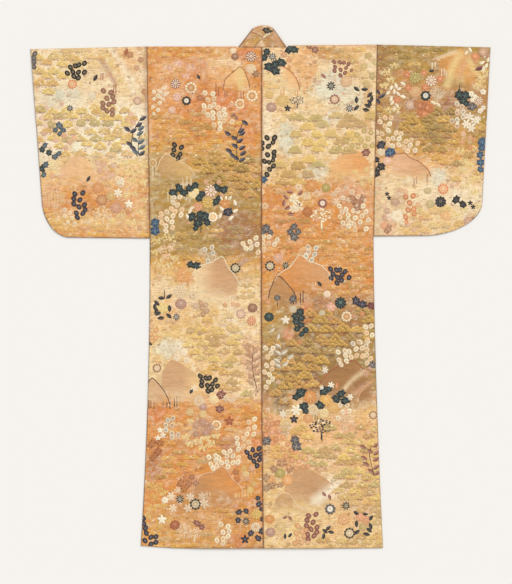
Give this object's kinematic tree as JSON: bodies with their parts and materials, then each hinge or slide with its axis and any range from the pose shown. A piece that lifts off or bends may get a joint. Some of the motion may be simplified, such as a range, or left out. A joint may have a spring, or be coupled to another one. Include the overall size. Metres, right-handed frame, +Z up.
{
  "type": "karaori robe",
  "caption": "Lined brocade stage robe with straight panels, square sleeves and a band collar, laid out flat with its back upwards.",
  "frame": {"origin": "on the surface it lies on, under the middle of the whole robe", "axes": "+Z up out of the surface, +Y from the hem towards the collar, +X across the shoulders towards the wearer's right, since the back lies upwards"},
  "size_m": [1.3972, 1.589, 0.0067],
  "materials": {
    "brocade": "silk twill with long floating brocade threads in soft blocks of cream, orange and olive, slight sheen"
  },
  "bodies": {
    "root": {"left_body_panel": "brocade", "right_body_panel": "brocade", "left_sleeve": "brocade", "right_sleeve": "brocade", "left_overlap": "brocade", "right_overlap": "brocade", "collar": "brocade"}
  },
  "joints": []
}
